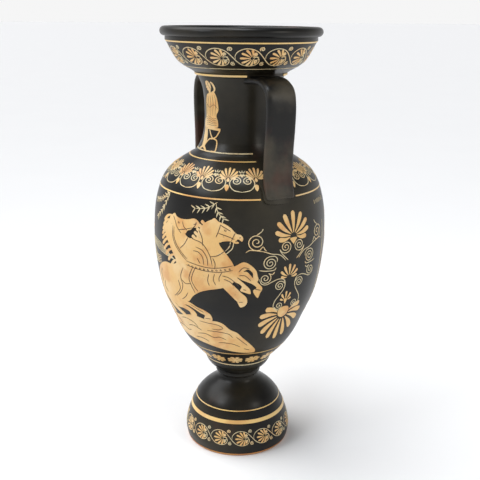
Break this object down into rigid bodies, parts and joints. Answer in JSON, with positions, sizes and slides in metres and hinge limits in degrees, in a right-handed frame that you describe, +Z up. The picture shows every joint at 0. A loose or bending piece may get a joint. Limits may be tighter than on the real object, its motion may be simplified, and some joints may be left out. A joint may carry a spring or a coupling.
{
  "type": "greek neck amphora",
  "caption": "Tall hollow pottery vase on a bell foot, with a cup mouth and strap handles, for display or for holding liquid.",
  "frame": {"origin": "centre of the underside, on the surface the vase stands on", "axes": "+Z up along the vase's axis, +X through the middle of one handle, -Y out of the side with the horses"},
  "size_m": [0.2564, 0.257, 0.6399],
  "materials": {
    "black_glaze": "semi-gloss black slip over fired clay, with brown and olive undertones",
    "ochre_paint": "satin ochre and pale buff painted ornament"
  },
  "bodies": {
    "root": {"vase": "black_glaze"}
  },
  "joints": []
}
